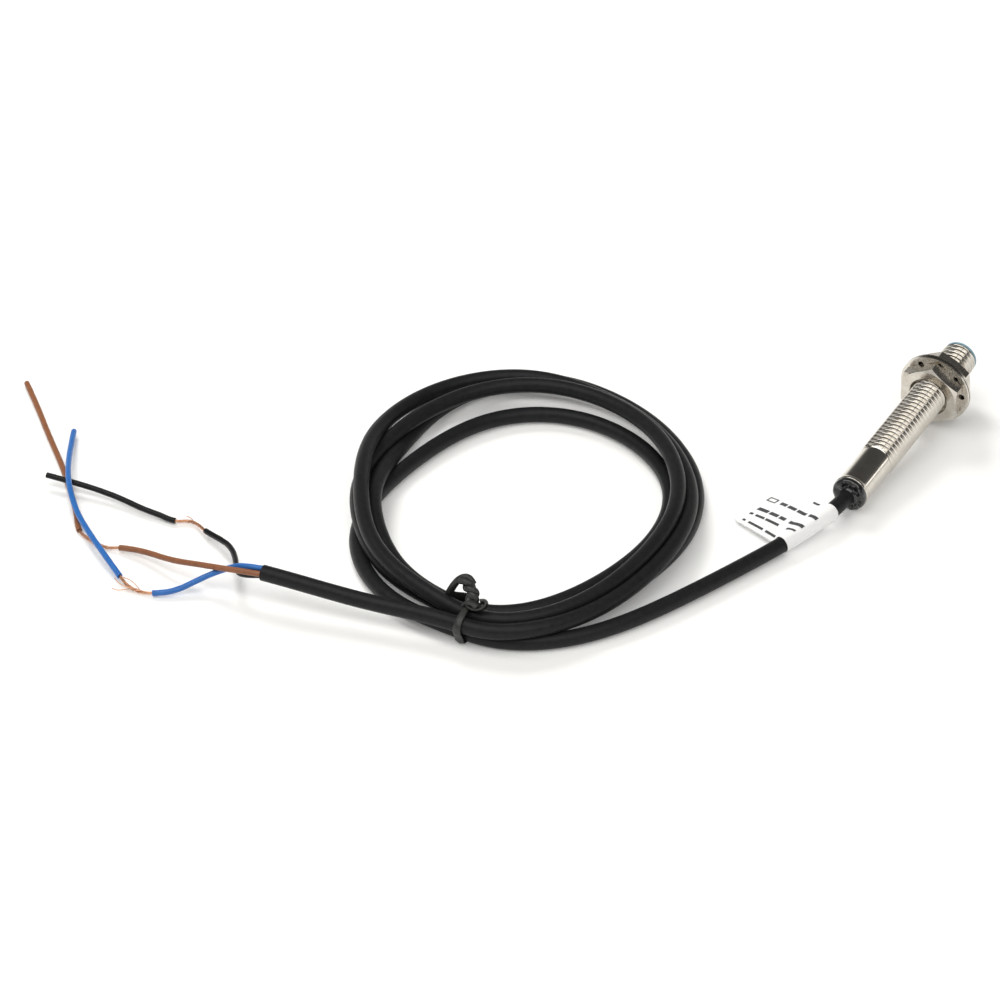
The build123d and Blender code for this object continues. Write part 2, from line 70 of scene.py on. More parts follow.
# ------------------------------------------------------------------ routes (metres)
LEAD = [
    (-0.02113, 0.00000, 0.00444), (-0.02829, 0.00000, 0.00369), (-0.03457, 0.00064, 0.00330), (-0.04151, 0.00247, 0.00260),
    (-0.04869, 0.00466, 0.00205), (-0.05593, 0.00696, 0.00190), (-0.06332, 0.00933, 0.00187), (-0.07095, 0.01188, 0.00184),
    (-0.07860, 0.01465, 0.00179), (-0.08591, 0.01765, 0.00174), (-0.09257, 0.02100, 0.00171), (-0.09831, 0.02488, 0.00170),
    (-0.10291, 0.02930, 0.00170), (-0.10620, 0.03399, 0.00170), (-0.10812, 0.03853, 0.00170), (-0.10889, 0.04277, 0.00171),
]
COIL = [
    (-0.10904, 0.04704, 0.00178), (-0.10894, 0.05160, 0.00186), (-0.10861, 0.05636, 0.00186), (-0.10778, 0.06123, 0.00177),
    (-0.10614, 0.06619, 0.00170), (-0.10350, 0.07119, 0.00170), (-0.09992, 0.07594, 0.00171), (-0.09560, 0.08005, 0.00170),
    (-0.09077, 0.08326, 0.00170), (-0.08555, 0.08558, 0.00170), (-0.07998, 0.08713, 0.00171), (-0.07395, 0.08799, 0.00170),
    (-0.06732, 0.08820, 0.00170), (-0.06016, 0.08784, 0.00174), (-0.05282, 0.08689, 0.00182), (-0.04579, 0.08520, 0.00189),
    (-0.03952, 0.08256, 0.00188), (-0.03436, 0.07879, 0.00179), (-0.03056, 0.07397, 0.00173), (-0.02826, 0.06824, 0.00176),
    (-0.02756, 0.06181, 0.00184), (-0.02844, 0.05493, 0.00188), (-0.03083, 0.04812, 0.00185), (-0.03455, 0.04195, 0.00176),
    (-0.03929, 0.03693, 0.00170), (-0.04470, 0.03324, 0.00170), (-0.05056, 0.03074, 0.00175), (-0.05671, 0.02922, 0.00183),
    (-0.06316, 0.02856, 0.00190), (-0.06991, 0.02875, 0.00195), (-0.07685, 0.02983, 0.00193), (-0.08368, 0.03173, 0.00186),
    (-0.08998, 0.03443, 0.00177), (-0.09525, 0.03786, 0.00171), (-0.09903, 0.04184, 0.00170), (-0.10110, 0.04614, 0.00170),
    (-0.10164, 0.05072, 0.00170), (-0.10112, 0.05566, 0.00170), (-0.09993, 0.06087, 0.00171), (-0.09812, 0.06610, 0.00195),
    (-0.09561, 0.07109, 0.00256), (-0.09230, 0.07574, 0.00354), (-0.08819, 0.08005, 0.00467), (-0.08334, 0.08383, 0.00541),
    (-0.07773, 0.08694, 0.00536), (-0.07127, 0.08937, 0.00454), (-0.06400, 0.09125, 0.00331), (-0.05635, 0.09281, 0.00229),
    (-0.04882, 0.09393, 0.00181), (-0.04163, 0.09410, 0.00170), (-0.03486, 0.09298, 0.00170), (-0.02863, 0.09042, 0.00175),
    (-0.02334, 0.08657, 0.00187), (-0.01944, 0.08165, 0.00196), (-0.01717, 0.07585, 0.00193), (-0.01651, 0.06930, 0.00178),
    (-0.01727, 0.06244, 0.00170), (-0.01925, 0.05566, 0.00177), (-0.02227, 0.04907, 0.00192), (-0.02621, 0.04270, 0.00193),
    (-0.03091, 0.03694, 0.00181), (-0.03610, 0.03224, 0.00173), (-0.04153, 0.02870, 0.00170), (-0.04699, 0.02617, 0.00170),
    (-0.05246, 0.02441, 0.00176), (-0.05809, 0.02332, 0.00188), (-0.06412, 0.02295, 0.00199), (-0.07073, 0.02338, 0.00197),
    (-0.07770, 0.02463, 0.00184), (-0.08460, 0.02671, 0.00173), (-0.09094, 0.02956, 0.00170), (-0.09631, 0.03300, 0.00174),
    (-0.10042, 0.03674, 0.00184), (-0.10311, 0.04054, 0.00203), (-0.10447, 0.04449, 0.00230), (-0.10479, 0.04895, 0.00262),
    (-0.10437, 0.05405, 0.00284), (-0.10340, 0.05962, 0.00292), (-0.10198, 0.06512, 0.00298), (-0.10013, 0.06991, 0.00318),
    (-0.09791, 0.07385, 0.00360), (-0.09537, 0.07726, 0.00414), (-0.09245, 0.08050, 0.00465), (-0.08893, 0.08377, 0.00499),
    (-0.08471, 0.08696, 0.00512), (-0.07988, 0.08976, 0.00505), (-0.07475, 0.09192, 0.00483), (-0.06960, 0.09335, 0.00459),
    (-0.06454, 0.09415, 0.00459), (-0.05942, 0.09440, 0.00488), (-0.05402, 0.09404, 0.00523), (-0.04826, 0.09297, 0.00549),
    (-0.04232, 0.09106, 0.00570), (-0.03657, 0.08815, 0.00590), (-0.03151, 0.08418, 0.00602), (-0.02762, 0.07927, 0.00607),
    (-0.02515, 0.07360, 0.00611), (-0.02418, 0.06737, 0.00620), (-0.02463, 0.06080, 0.00635), (-0.02637, 0.05424, 0.00660),
    (-0.02922, 0.04799, 0.00690), (-0.03307, 0.04222, 0.00712), (-0.03780, 0.03704, 0.00718), (-0.04321, 0.03262, 0.00712),
    (-0.04905, 0.02915, 0.00706), (-0.05514, 0.02671, 0.00701), (-0.06138, 0.02521, 0.00689), (-0.06773, 0.02451, 0.00665),
    (-0.07417, 0.02450, 0.00630), (-0.08066, 0.02516, 0.00588), (-0.08710, 0.02656, 0.00543), (-0.09320, 0.02880, 0.00505),
    (-0.09858, 0.03189, 0.00483), (-0.10285, 0.03556, 0.00478), (-0.10568, 0.03938, 0.00482), (-0.10703, 0.04315, 0.00494),
    (-0.10720, 0.04716, 0.00514), (-0.10660, 0.05178, 0.00543), (-0.10549, 0.05700, 0.00576), (-0.10396, 0.06244, 0.00607),
    (-0.10195, 0.06768, 0.00638), (-0.09930, 0.07256, 0.00684), (-0.09580, 0.07705, 0.00746), (-0.09133, 0.08121, 0.00806),
    (-0.08592, 0.08519, 0.00844), (-0.07973, 0.08905, 0.00848), (-0.07293, 0.09264, 0.00814), (-0.06570, 0.09563, 0.00737),
    (-0.05823, 0.09759, 0.00635), (-0.05081, 0.09832, 0.00547), (-0.04380, 0.09767, 0.00497), (-0.03748, 0.09560, 0.00484),
    (-0.03202, 0.09224, 0.00493), (-0.02754, 0.08789, 0.00508), (-0.02420, 0.08287, 0.00516), (-0.02208, 0.07733, 0.00508),
    (-0.02113, 0.07136, 0.00481), (-0.02125, 0.06511, 0.00450), (-0.02231, 0.05888, 0.00439), (-0.02431, 0.05270, 0.00447),
    (-0.02729, 0.04661, 0.00459), (-0.03121, 0.04077, 0.00462), (-0.03591, 0.03545, 0.00456), (-0.04110, 0.03098, 0.00461),
    (-0.04660, 0.02746, 0.00485), (-0.05243, 0.02478, 0.00511), (-0.05872, 0.02285, 0.00523), (-0.06550, 0.02172, 0.00519),
    (-0.07266, 0.02145, 0.00501), (-0.07992, 0.02198, 0.00474), (-0.08692, 0.02326, 0.00453), (-0.09339, 0.02525, 0.00447),
    (-0.09909, 0.02789, 0.00461), (-0.10378, 0.03104, 0.00483), (-0.10722, 0.03451, 0.00487), (-0.10933, 0.03810, 0.00474),
    (-0.11032, 0.04168, 0.00463),
]
TAIL = [
    (-0.11069, 0.04534, 0.00461), (-0.11097, 0.04926, 0.00465), (-0.11150, 0.05356, 0.00470), (-0.11233, 0.05822, 0.00473),
    (-0.11333, 0.06319, 0.00482), (-0.11438, 0.06844, 0.00506), (-0.11539, 0.07389, 0.00544), (-0.11634, 0.07929, 0.00584),
    (-0.11714, 0.08433, 0.00614), (-0.11778, 0.08890, 0.00626),
]
BROWN = [
    (-0.11859, 0.08878, 0.00638), (-0.11934, 0.09199, 0.00630), (-0.11986, 0.09713, 0.00560), (-0.11984, 0.10368, 0.00430),
    (-0.12000, 0.11042, 0.00300), (-0.11873, 0.11795, 0.00180), (-0.11911, 0.12398, 0.00095), (-0.12015, 0.12621, 0.00060),
    (-0.12016, 0.12903, 0.00050), (-0.11933, 0.13233, 0.00050), (-0.11834, 0.13543, 0.00062), (-0.11276, 0.13992, 0.00065),
    (-0.10629, 0.14621, 0.00065), (-0.09959, 0.15315, 0.00065), (-0.09004, 0.16419, 0.00065), (-0.08460, 0.17004, 0.00065),
    (-0.07671, 0.17927, 0.00065),
]
BROWN_CUTS = [(-0.11911, 0.12398, 0.00095), (-0.11834, 0.13543, 0.00062)]
BLUE = [
    (-0.11743, 0.08893, 0.00704), (-0.11804, 0.09360, 0.00660), (-0.11775, 0.09659, 0.00490), (-0.11984, 0.09972, 0.00360),
    (-0.12311, 0.10255, 0.00220), (-0.12659, 0.10498, 0.00110), (-0.12933, 0.10886, 0.00075), (-0.12974, 0.11136, 0.00050),
    (-0.12981, 0.11442, 0.00070), (-0.12810, 0.11789, 0.00125), (-0.12423, 0.12451, 0.00210), (-0.12018, 0.13083, 0.00230),
    (-0.11518, 0.13776, 0.00230), (-0.11114, 0.14232, 0.00350), (-0.10573, 0.14703, 0.00365), (-0.09661, 0.15323, 0.00230),
    (-0.08796, 0.15827, 0.00120),
]
BLUE_CUTS = [(-0.12933, 0.10886, 0.00075), (-0.12810, 0.11789, 0.00125)]
BLACK = [
    (-0.11753, 0.08896, 0.00544), (-0.11883, 0.09265, 0.00480), (-0.11740, 0.09592, 0.00380), (-0.11279, 0.09900, 0.00310),
    (-0.10859, 0.10322, 0.00240), (-0.10681, 0.10735, 0.00180), (-0.10542, 0.11187, 0.00130), (-0.10366, 0.11474, 0.00100),
    (-0.10313, 0.11742, 0.00075), (-0.10517, 0.11973, 0.00075), (-0.10494, 0.12437, 0.00100), (-0.10521, 0.12792, 0.00120),
    (-0.10464, 0.13426, 0.00150), (-0.10484, 0.13931, 0.00180), (-0.10529, 0.14421, 0.00205), (-0.10659, 0.15198, 0.00245),
]
BLACK_CUTS = [(-0.10542, 0.11187, 0.00130), (-0.10517, 0.11973, 0.00075)]
CABLE_D = 0.0034
CORE_D = 0.00125
COPPER_D = 0.0006


# ------------------------------------------------------------------ mesh helpers
def link(obj):
    scene.collection.objects.link(obj)
    return obj


def mesh_object(name, verts, faces, material, smooth=True, body="sensor"):
    me = bpy.data.meshes.new(name)
    me.from_pydata([tuple(v) for v in verts], [], faces)
    me.update()
    if smooth:
        for p in me.polygons:
            p.use_smooth = True
    ob = link(bpy.data.objects.new(name, me))
    me.materials.append(material)
    if body:
        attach(ob, body)
    return ob


def nurbs_curve(name, pts, bevel=0.0, caps=True, res=10):
    cu = bpy.data.curves.new(name, "CURVE")
    cu.dimensions = "3D"
    cu.resolution_u = res
    cu.bevel_depth = bevel
    cu.bevel_resolution = 7
    cu.use_fill_caps = caps
    sp = cu.splines.new("NURBS")
    sp.points.add(len(pts) - 1)
    for p, q in zip(sp.points, pts):
        p.co = (q[0], q[1], q[2], 1.0)
    sp.order_u = 3
    sp.use_endpoint_u = True
    return link(bpy.data.objects.new(name, cu))


def route_points(pts, res=12):
    """Points along the smooth line that a NURBS spline makes of the route."""
    ob = nurbs_curve("route_tmp", pts, res=res)
    me = bpy.data.meshes.new_from_object(ob)
    out = [v.co.copy() for v in me.vertices]
    bpy.data.objects.remove(ob)
    bpy.data.meshes.remove(me)
    return out


def arc_lengths(path):
    out = [0.0]
    for a, b in zip(path, path[1:]):
        out.append(out[-1] + (b - a).length)
    return out


def point_at(path, arcs, s):
    s = min(max(s, 0.0), arcs[-1])
    lo, hi = 0, len(arcs) - 1
    while hi - lo > 1:
        mid = (lo + hi) // 2
        if arcs[mid] <= s:
            lo = mid
        else:
            hi = mid
    k = (s - arcs[lo]) / max(arcs[hi] - arcs[lo], 1e-12)
    return path[lo].lerp(path[hi], k)


def resample(path, s0, s1, step):
    arcs = arc_lengths(path)
    n = max(2, int(math.ceil((s1 - s0) / step)) + 1)
    return [point_at(path, arcs, s0 + (s1 - s0) * i / (n - 1)) for i in range(n)]


def nearest_arc(path, p):
    arcs = arc_lengths(path)
    p = Vector(p)
    best = min(range(len(path)), key=lambda i: (path[i] - p).length)
    return arcs[best]


def frames(path, up=Vector((0, 0, 1))):
    """Tangent, side and normal that turn as little as possible along the path."""
    out = []
    nrm = None
    for i, p in enumerate(path):
        a = path[max(i - 1, 0)]
        b = path[min(i + 1, len(path) - 1)]
        t = (b - a).normalized()
        if nrm is None:
            nrm = up - t * up.dot(t)
            if nrm.length < 1e-6:
                nrm = Vector((1, 0, 0)) - t * t.x
            nrm.normalize()
        else:
            nrm = (nrm - t * nrm.dot(t)).normalized()
        out.append((t, t.cross(nrm).normalized(), nrm.copy()))
    return out


def sweep(path, ring, caps=True, up=Vector((0, 0, 1))):
    """Verts and faces of a tube; ring(i, k) gives the section's points (side, normal) at point i, fraction k."""
    fr = frames(path, up)
    verts, faces = [], []
    n = len(path)
    m = None
    for i, (p, (t, s, u)) in enumerate(zip(path, fr)):
        sec = ring(i, i / (n - 1))
        m = len(sec)
        verts += [p + s * a + u * b for a, b in sec]
    for i in range(n - 1):
        for j in range(m):
            a, b = i * m + j, i * m + (j + 1) % m
            faces.append((a, b, b + m, a + m))
    if caps:
        faces.append(tuple(reversed(range(m))))
        faces.append(tuple(range((n - 1) * m, n * m)))
    return verts, faces


def circle(r, m=20, cx=0.0, cy=0.0):
    return [(cx + r * math.cos(2 * math.pi * j / m), cy + r * math.sin(2 * math.pi * j / m)) for j in range(m)]


def merge(parts):
    verts, faces = [], []
    for v, f in parts:
        k = len(verts)
        verts += v
        faces += [tuple(i + k for i in g) for g in f]
    return verts, faces


# ------------------------------------------------------------------ materials
def new_material(name):
    m = bpy.data.materials.new(name)
    m.use_nodes = True
    nt = m.node_tree
    bsdf = nt.nodes.get("Principled BSDF")
    return m, nt, bsdf


def coords(nt):
    tc = nt.nodes.new("ShaderNodeTexCoord")
    return tc.outputs["Object"]


def noise_node(nt, scale, detail=4.0, rough=0.5, vec=None):
    n = nt.nodes.new("ShaderNodeTexNoise")
    n.inputs["Scale"].default_value = scale
    n.inputs["Detail"].default_value = detail
    n.inputs["Roughness"].default_value = rough
    nt.links.new(vec if vec is not None else coords(nt), n.inputs["Vector"])
    return n


def ramp(nt, src, stops):
    r = nt.nodes.new("ShaderNodeValToRGB")
    els = r.color_ramp.elements
    while len(els) < len(stops):
        els.new(0.5)
    for e, (pos, col) in zip(els, stops):
        e.position = pos
        e.color = (*col, 1.0) if len(col) == 3 else col
    nt.links.new(src, r.inputs["Fac"])
    return r


def bump(nt, bsdf, src, strength, distance, prev=None):
    b = nt.nodes.new("ShaderNodeBump")
    b.inputs["Strength"].default_value = strength
    b.inputs["Distance"].default_value = distance
    nt.links.new(src, b.inputs["Height"])
    if prev is not None:
        nt.links.new(prev.outputs["Normal"], b.inputs["Normal"])
    nt.links.new(b.outputs["Normal"], bsdf.inputs["Normal"])
    return b


def metal(name, color, dark, rough=(0.12, 0.28), grain=900.0):
    m, nt, b = new_material(name)
    b.inputs["Metallic"].default_value = 1.0
    n = noise_node(nt, 260.0, 6.0, 0.6)
    c = ramp(nt, n.outputs["Fac"], [(0.30, dark), (0.62, color)])
    nt.links.new(c.outputs["Color"], b.inputs["Base Color"])
    n2 = noise_node(nt, grain, 5.0, 0.65)
    r = ramp(nt, n2.outputs["Fac"], [(0.3, (rough[0],) * 3), (0.75, (rough[1],) * 3)])
    nt.links.new(r.outputs["Color"], b.inputs["Roughness"])
    n3 = noise_node(nt, grain * 2.2, 3.0, 0.6)
    bump(nt, b, n3.outputs["Fac"], 0.12, 0.00003)
    return m


def plastic(name, color, color2, rough=(0.35, 0.5), scale=500.0, bump_d=0.00002, bump_s=0.15, coat=0.0, specular=0.5):
    m, nt, b = new_material(name)
    n = noise_node(nt, scale, 5.0, 0.6)
    c = ramp(nt, n.outputs["Fac"], [(0.3, color), (0.7, color2)])
    nt.links.new(c.outputs["Color"], b.inputs["Base Color"])
    n2 = noise_node(nt, scale * 2.5, 4.0, 0.6)
    r = ramp(nt, n2.outputs["Fac"], [(0.3, (rough[0],) * 3), (0.7, (rough[1],) * 3)])
    nt.links.new(r.outputs["Color"], b.inputs["Roughness"])
    bump(nt, b, n2.outputs["Fac"], bump_s, bump_d)
    b.inputs["Coat Weight"].default_value = coat
    b.inputs["Specular IOR Level"].default_value = specular
    return m


M_NICKEL = metal("nickel_barrel", (0.70, 0.665, 0.61), (0.60, 0.56, 0.50), rough=(0.09, 0.19))
M_NUT = metal("nickel_nut", (0.70, 0.665, 0.61), (0.50, 0.46, 0.40), rough=(0.12, 0.32), grain=1500.0)
M_WASHER = metal("nickel_washer", (0.70, 0.665, 0.61), (0.48, 0.44, 0.38), rough=(0.14, 0.34), grain=1200.0)
M_COPPER = metal("bare_copper", (0.83, 0.47, 0.30), (0.60, 0.31, 0.18), rough=(0.22, 0.42), grain=2500.0)
M_SOLDER = metal("solder", (0.78, 0.78, 0.78), (0.6, 0.6, 0.6), rough=(0.2, 0.4))
M_FERRITE = plastic("ferrite", (0.03, 0.03, 0.032), (0.05, 0.05, 0.052), rough=(0.55, 0.75), scale=1500.0)
M_BOBBIN = plastic("bobbin", (0.75, 0.72, 0.66), (0.82, 0.79, 0.72))
M_BOARD = plastic("board", (0.02, 0.13, 0.05), (0.03, 0.17, 0.07), rough=(0.3, 0.45))
M_CHIP = plastic("chip", (0.012, 0.012, 0.013), (0.02, 0.02, 0.02), rough=(0.45, 0.6), scale=2500.0)
M_CAPACITOR = plastic("capacitor", (0.42, 0.30, 0.18), (0.5, 0.38, 0.24))
M_CAP = plastic("cap_blue", (0.20, 0.34, 0.42), (0.27, 0.42, 0.50), rough=(0.3, 0.45), scale=700.0)
M_JACKET = plastic("jacket", (0.0095, 0.0098, 0.0105), (0.0155, 0.0158, 0.017), rough=(0.36, 0.52), scale=900.0, bump_d=0.00003, bump_s=0.22, specular=0.17)
M_BROWN = plastic("insulation_brown", (0.215, 0.078, 0.030), (0.275, 0.105, 0.044), rough=(0.35, 0.5), scale=900.0)
M_BLUE = plastic("insulation_blue", (0.014, 0.115, 0.40), (0.026, 0.155, 0.48), rough=(0.32, 0.46), scale=900.0)
M_BLACK = plastic("insulation_black", (0.006, 0.006, 0.007), (0.012, 0.012, 0.013), rough=(0.26, 0.40), scale=900.0, specular=0.22)
M_TIE = plastic("tie_plastic", (0.012, 0.0125, 0.0115), (0.029, 0.0295, 0.026), rough=(0.38, 0.55), scale=1400.0, bump_d=0.00006, bump_s=0.3)
M_PRINT = plastic("print_grey", (0.03, 0.03, 0.032), (0.10, 0.10, 0.105), rough=(0.6, 0.8), scale=2400.0, bump_s=0.0)


def resin_material():
    m, nt, b = new_material("black_resin")
    n = noise_node(nt, 700.0, 4.0, 0.6)
    c = ramp(nt, n.outputs["Fac"], [(0.3, (0.006, 0.006, 0.0065)), (0.7, (0.014, 0.014, 0.015))])
    nt.links.new(c.outputs["Color"], b.inputs["Base Color"])
    r = ramp(nt, n.outputs["Fac"], [(0.3, (0.06,) * 3), (0.8, (0.20,) * 3)])
    nt.links.new(r.outputs["Color"], b.inputs["Roughness"])
    n2 = noise_node(nt, 1100.0, 3.0, 0.6)
    bump(nt, b, n2.outputs["Fac"], 0.5, 0.0002)
    b.inputs["Coat Weight"].default_value = 0.6
    b.inputs["Coat Roughness"].default_value = 0.08
    return m


M_RESIN = resin_material()


def label_material():
    m, nt, b = new_material("label_paper")
    n = noise_node(nt, 1800.0, 5.0, 0.65)
    c = ramp(nt, n.outputs["Fac"], [(0.3, (0.86, 0.86, 0.865)), (0.7, (0.93, 0.93, 0.93))])
    nt.links.new(c.outputs["Color"], b.inputs["Base Color"])
    r = ramp(nt, n.outputs["Fac"], [(0.3, (0.5,) * 3), (0.7, (0.62,) * 3)])
    nt.links.new(r.outputs["Color"], b.inputs["Roughness"])
    bump(nt, b, n.outputs["Fac"], 0.1, 0.00001)
    return m


M_LABEL = label_material()


def paint(node, material):
    ob = nodes[node]
    if not ob.material_slots:
        ob.data.materials.append(material)
    for s in ob.material_slots:
        s.material = material


for node, material in {
    "sensing_cap": M_CAP, "ferrite_core": M_FERRITE, "coil_bobbin": M_BOBBIN, "coil_winding": M_COPPER,
    "coil_leads": M_COPPER, "circuit_board": M_BOARD, "oscillator_chip": M_CHIP, "output_transistor": M_CHIP,
    "protection_diode": M_CHIP, "chip_capacitors": M_CAPACITOR, "chip_resistors": M_CHIP, "solder_joints": M_SOLDER,
    "inner_lead_brown": M_BROWN, "inner_lead_blue": M_BLUE, "inner_lead_black": M_BLACK,
    "rear_nut": M_NUT, "front_nut": M_NUT, "rear_lock_washer": M_WASHER, "front_lock_washer": M_WASHER,
    "potting_resin": M_RESIN, "threaded_barrel": M_NICKEL,
}.items():
    paint(node, material)

# ------------------------------------------------------------------ jacketed lead
jacket = nurbs_curve("cable_jacket", LEAD + COIL + TAIL, bevel=CABLE_D / 2, res=8)
jacket.data.materials.append(M_JACKET)
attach(jacket, "sensor")
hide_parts("cable_lead", "cable_coil", "cable_tail")

jacket_line = route_points(LEAD + COIL + TAIL, res=8)


# ------------------------------------------------------------------ label
SLEEVE_RIGHT = (-0.03406, 0.00091, 0.0032)
SLEEVE_LEFT = (-0.04824, 0.00451, 0.0021)
FAR_LEFT = Vector((-0.04330, 0.01985, 0.00050))
FAR_RIGHT = Vector((-0.02675, 0.01475, 0.00060))
SLEEVE_R = CABLE_D / 2 + 0.00012
jacket_arcs = arc_lengths(jacket_line)
SL0 = nearest_arc(jacket_line, SLEEVE_LEFT)
SL1 = nearest_arc(jacket_line, SLEEVE_RIGHT)


def label_profile(f, trim=1.0):
    """Section of the wrapped strip at fraction f along the lead: the upper ply from the far edge, round the lead, back along the lower ply."""
    s = SL0 + (SL1 - SL0) * f
    p = point_at(jacket_line, jacket_arcs, s)
    t = (point_at(jacket_line, jacket_arcs, s + 0.0004) - point_at(jacket_line, jacket_arcs, s - 0.0004)).normalized()
    side = Vector((0, 0, 1)).cross(t).normalized()
    if side.y < 0:
        side = -side
    up = t.cross(side).normalized()
    if up.z < 0:
        up = -up
    far = FAR_LEFT.lerp(FAR_RIGHT, f)
    lift = min(max(f / 0.30, 0.0), 1.0)
    lift = lift * lift * (3 - 2 * lift)
    m = p + side * 0.0027 + up * (-0.0009 + 0.0018 * lift + 0.0002 * f)
    rel = m - p
    q = math.hypot(rel.dot(side), rel.dot(up))
    mid = math.atan2(rel.dot(up), rel.dot(side))
    half = math.acos(min(SLEEVE_R / q, 1.0))
    a_top, a_low = mid + half, mid - half

    def ring(a):
        return p + side * (SLEEVE_R * math.cos(a)) + up * (SLEEVE_R * math.sin(a))

    pts = []
    n = 18
    wave = 0.00022 * math.sin(2.2 * f + 0.6)
    for k in range(n + 1):
        d = (1.0 - k / n) * trim
        c = m.lerp(far, d)
        c.z += wave * math.sin(math.pi * min(d * 1.1, 1.0)) + 0.00010
        pts.append(c)
    for k in (1, 2):
        pts.append(m.lerp(ring(a_top), k / 3) + Vector((0, 0, 0.00008)))
    turn = 2 * math.pi - (a_top - a_low)
    for k in range(41):
        c = ring(a_top + turn * k / 40)
        c.z = max(c.z, 0.00006)
        pts.append(c)
    for k in (1, 2):
        pts.append(ring(a_low).lerp(m, k / 3) - Vector((0, 0, 0.00008)))
    for k in range(n + 1):
        d = (k / n) * trim
        c = m.lerp(far, d)
        c.z += wave * math.sin(math.pi * min(d * 1.1, 1.0)) - 0.00010
        c.z = max(c.z, 0.00006)
        pts.append(c)
    return pts


def label_point(f, b, lift):
    """A place on the upper face: b is 0 at the far edge and 1 where the flag meets the lead."""
    pts = label_profile(f)
    arcs = arc_lengths(pts)
    s = b * 0.0136
    c = point_at(pts, arcs, s)
    ahead = point_at(pts, arcs, s + 0.0002) - point_at(pts, arcs, s - 0.0002)
    along = FAR_RIGHT - FAR_LEFT
    nrm = ahead.cross(along).normalized()
    axis = point_at(jacket_line, jacket_arcs, SL0 + (SL1 - SL0) * f)
    away = c - axis
    if away.length < 0.0026:
        if nrm.dot(away) < 0:
            nrm = -nrm
    elif nrm.z < 0:
        nrm = -nrm
    return c + nrm * lift


LABEL_COLS = 61
verts, faces = [], []
for j in range(LABEL_COLS):
    f = j / (LABEL_COLS - 1)
    edge = min(f, 1 - f) * 0.0165
    corner = 0.0026 if f < 0.5 else 0.0016
    cut = 0.0
    if edge < corner:
        cut = corner - math.sqrt(max(corner ** 2 - (corner - edge) ** 2, 0.0))
    col = label_profile(f, 1.0 - cut / 0.0136)
    LABEL_ROWS = len(col)
    verts += col
for j in range(LABEL_COLS - 1):
    for i in range(LABEL_ROWS - 1):
        a = j * LABEL_ROWS + i
        faces.append((a, a + 1, a + 1 + LABEL_ROWS, a + LABEL_ROWS))
label = mesh_object("flag_label_paper", verts, faces, M_LABEL)
thick = label.modifiers.new("thickness", "SOLIDIFY")
thick.thickness = 0.00009
thick.offset = 0.0
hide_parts("flag_label")

# plain marks stand in for the print: rows of short bars, no letters
bars = []


def bar(f0, f1, b0, b1):
    n = max(2, int((b1 - b0) / 0.03) + 1)
    base = []
    for i in range(n + 1):
        b = b0 + (b1 - b0) * i / n
        base.append((label_point(f0, b, 0.00009), label_point(f1, b, 0.00009)))
    v, fc = [], []
    for x, y in base:
        v += [x, y]
    for i in range(n):
        fc.append((2 * i, 2 * i + 1, 2 * i + 3, 2 * i + 2))
    bars.append((v, fc))


for f, h, words in (
    (0.635, 0.062, ((0.40, 0.56), (0.60, 0.80), (0.84, 1.06), (1.12, 1.29))),
    (0.375, 0.066, ((0.18, 0.44), (0.48, 0.68), (0.72, 0.86), (0.96, 1.27))),
    (0.235, 0.040, ((0.17, 0.25), (0.31, 0.52), (0.55, 0.86), (1.05, 1.25))),
    (0.085, 0.036, ((0.20, 0.26), (0.33, 0.66), (0.72, 0.95))),
):
    for b0, b1 in words:
        bar(f - h / 2, f + h / 2, b0, b1)
bar(0.585, 0.605, 0.07, 0.30)
bar(0.665, 0.685, 0.07, 0.30)
bar(0.605, 0.665, 0.07, 0.10)
bar(0.605, 0.665, 0.27, 0.30)
bar(0.90, 0.94, 0.90, 1.06)
pv, pf = merge(bars)
label_print = mesh_object("flag_label_print", pv, pf, M_PRINT, smooth=False)

# ------------------------------------------------------------------ twist tie
def ribbon_ring(w, t, ridge, turn=0.0, m=24):
    """Flat band with a rounded wire ridge in the middle, turned by an angle; side is its width."""
    pts = []
    for j in range(m):
        a = 2 * math.pi * j / m
        x = w / 2 * math.copysign(abs(math.cos(a)) ** 0.55, math.cos(a))
        y = t / 2 * math.copysign(abs(math.sin(a)) ** 0.75, math.sin(a))
        y += math.copysign(ridge * math.exp(-((x / (w * 0.17)) ** 2)), y) if abs(y) > 1e-9 else 0.0
        pts.append((x * math.cos(turn) - y * math.sin(turn), x * math.sin(turn) + y * math.cos(turn)))
    return pts


def oval(w, t, turn=0.0, m=18):
    return [(w / 2 * math.cos(a) * math.cos(turn) - t / 2 * math.sin(a) * math.sin(turn), w / 2 * math.cos(a) * math.sin(turn) + t / 2 * math.sin(a) * math.cos(turn))
            for a in (2 * math.pi * j / m for j in range(m))]


def twisted_pair(line, off, r, turns):
    """Two round strands wound round each other along the line."""
    fr = frames(line)
    n = len(line)
    parts = []
    for q in (0.0, math.pi):
        pts = []
        for i, (p, (t, s, u)) in enumerate(zip(line, fr)):
            a = q + 2 * math.pi * turns * i / (n - 1)
            pts.append(p + s * (off * math.cos(a)) + u * (off * math.sin(a)))
        parts.append(sweep(pts, lambda i, k: oval(r * 2.15, r * 1.8)))
    return merge(parts)


